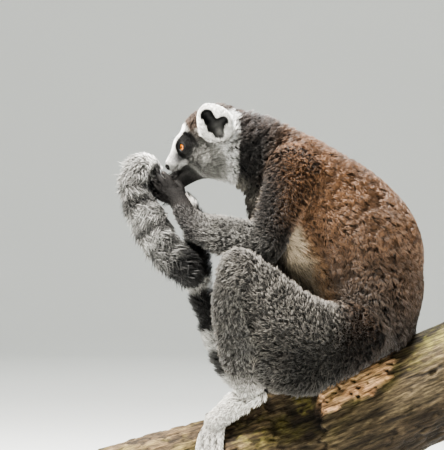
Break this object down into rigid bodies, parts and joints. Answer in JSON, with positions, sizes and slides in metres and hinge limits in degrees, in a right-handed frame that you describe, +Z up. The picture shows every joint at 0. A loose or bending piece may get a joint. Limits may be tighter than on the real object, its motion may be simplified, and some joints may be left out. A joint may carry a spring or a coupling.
{
  "type": "ring-tailed lemur",
  "caption": "Ring-tailed lemur sitting hunched on a cut length of branch and holding its banded tail to its mouth, on a plain rod stand.",
  "frame": {"origin": "middle of the underside of the stand's base", "axes": "+Z up; the animal faces -X, its left side is at -Y and its back at +X"},
  "size_m": [0.4668, 0.2079, 0.5209],
  "materials": {
    "back_fur": "warm brown woolly fur, darker on the neck and rump",
    "limb_fur": "grey speckled short fur",
    "face_fur": "white and grey face fur with a black eye patch and muzzle",
    "ear_fur": "white furred ear with a dark hollow",
    "tail_fur": "long soft fur in black and grey-white rings",
    "hand_skin": "dark bare skin with thin grey fur on the back of the hand",
    "foot_fur": "short white fur with dark nails",
    "eye": "wet amber iris with a black pupil",
    "branch_wood": "weathered barkless wood with old bark left in patches",
    "base_wood": "dark oiled wood",
    "rod_metal": "satin black rod"
  },
  "bodies": {
    "root": {"abdomen": "back_fur", "chest": "back_fur", "ear_left": "ear_fur", "ear_right": "ear_fur", "eye_left": "eye", "eye_right": "eye", "foot_left": "foot_fur", "foot_right": "foot_fur", "forearm_left": "limb_fur", "forearm_right": "limb_fur", "hand_left": "hand_skin", "hand_right": "hand_skin", "head": "face_fur", "neck": "back_fur", "perch_branch": "branch_wood", "shank_left": "limb_fur", "shank_right": "limb_fur", "stand_base": "base_wood", "stand_rod_back": "rod_metal", "stand_rod_front": "rod_metal", "tail_1": "tail_fur", "tail_2": "tail_fur", "tail_3": "tail_fur", "tail_4": "tail_fur", "tail_5": "tail_fur", "tail_6": "tail_fur", "tail_7": "tail_fur", "thigh_left": "limb_fur", "thigh_right": "limb_fur", "upper_arm_left": "limb_fur", "upper_arm_right": "limb_fur"}
  },
  "joints": []
}
